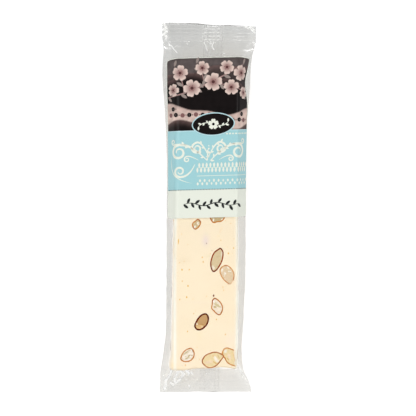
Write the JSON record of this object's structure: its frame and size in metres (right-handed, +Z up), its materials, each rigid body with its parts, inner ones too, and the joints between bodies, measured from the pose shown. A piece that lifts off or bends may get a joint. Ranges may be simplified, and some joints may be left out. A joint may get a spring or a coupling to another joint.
{
  "type": "nougat bar",
  "caption": "Flat bar of cream nougat with cut almonds, sealed in a clear film pack with crimped ends and a long back seam, with a paper label on the front of one end.",
  "frame": {"origin": "middle of the pack's outline at the level of the surface that it lies on, which its back seam rests on", "axes": "+X across the pack, +Y along it towards the labelled end, +Z up, out of the labelled front"},
  "size_m": [0.0552, 0.216, 0.0159],
  "materials": {
    "wrapped_nougat": "cream nougat seen through clear glossy film",
    "film": "thin clear glossy polypropylene film, creased and slightly grey",
    "nougat": "smooth soft cream nougat, slightly waxy",
    "almond_flesh": "cut almond flesh, tan to cream, finely grained",
    "almond_skin": "thin brown almond skin, wrinkled",
    "label": "smooth coated paper with a satin print"
  },
  "bodies": {
    "root": {"wrapped_bar": "wrapped_nougat", "label": "label"}
  },
  "joints": []
}
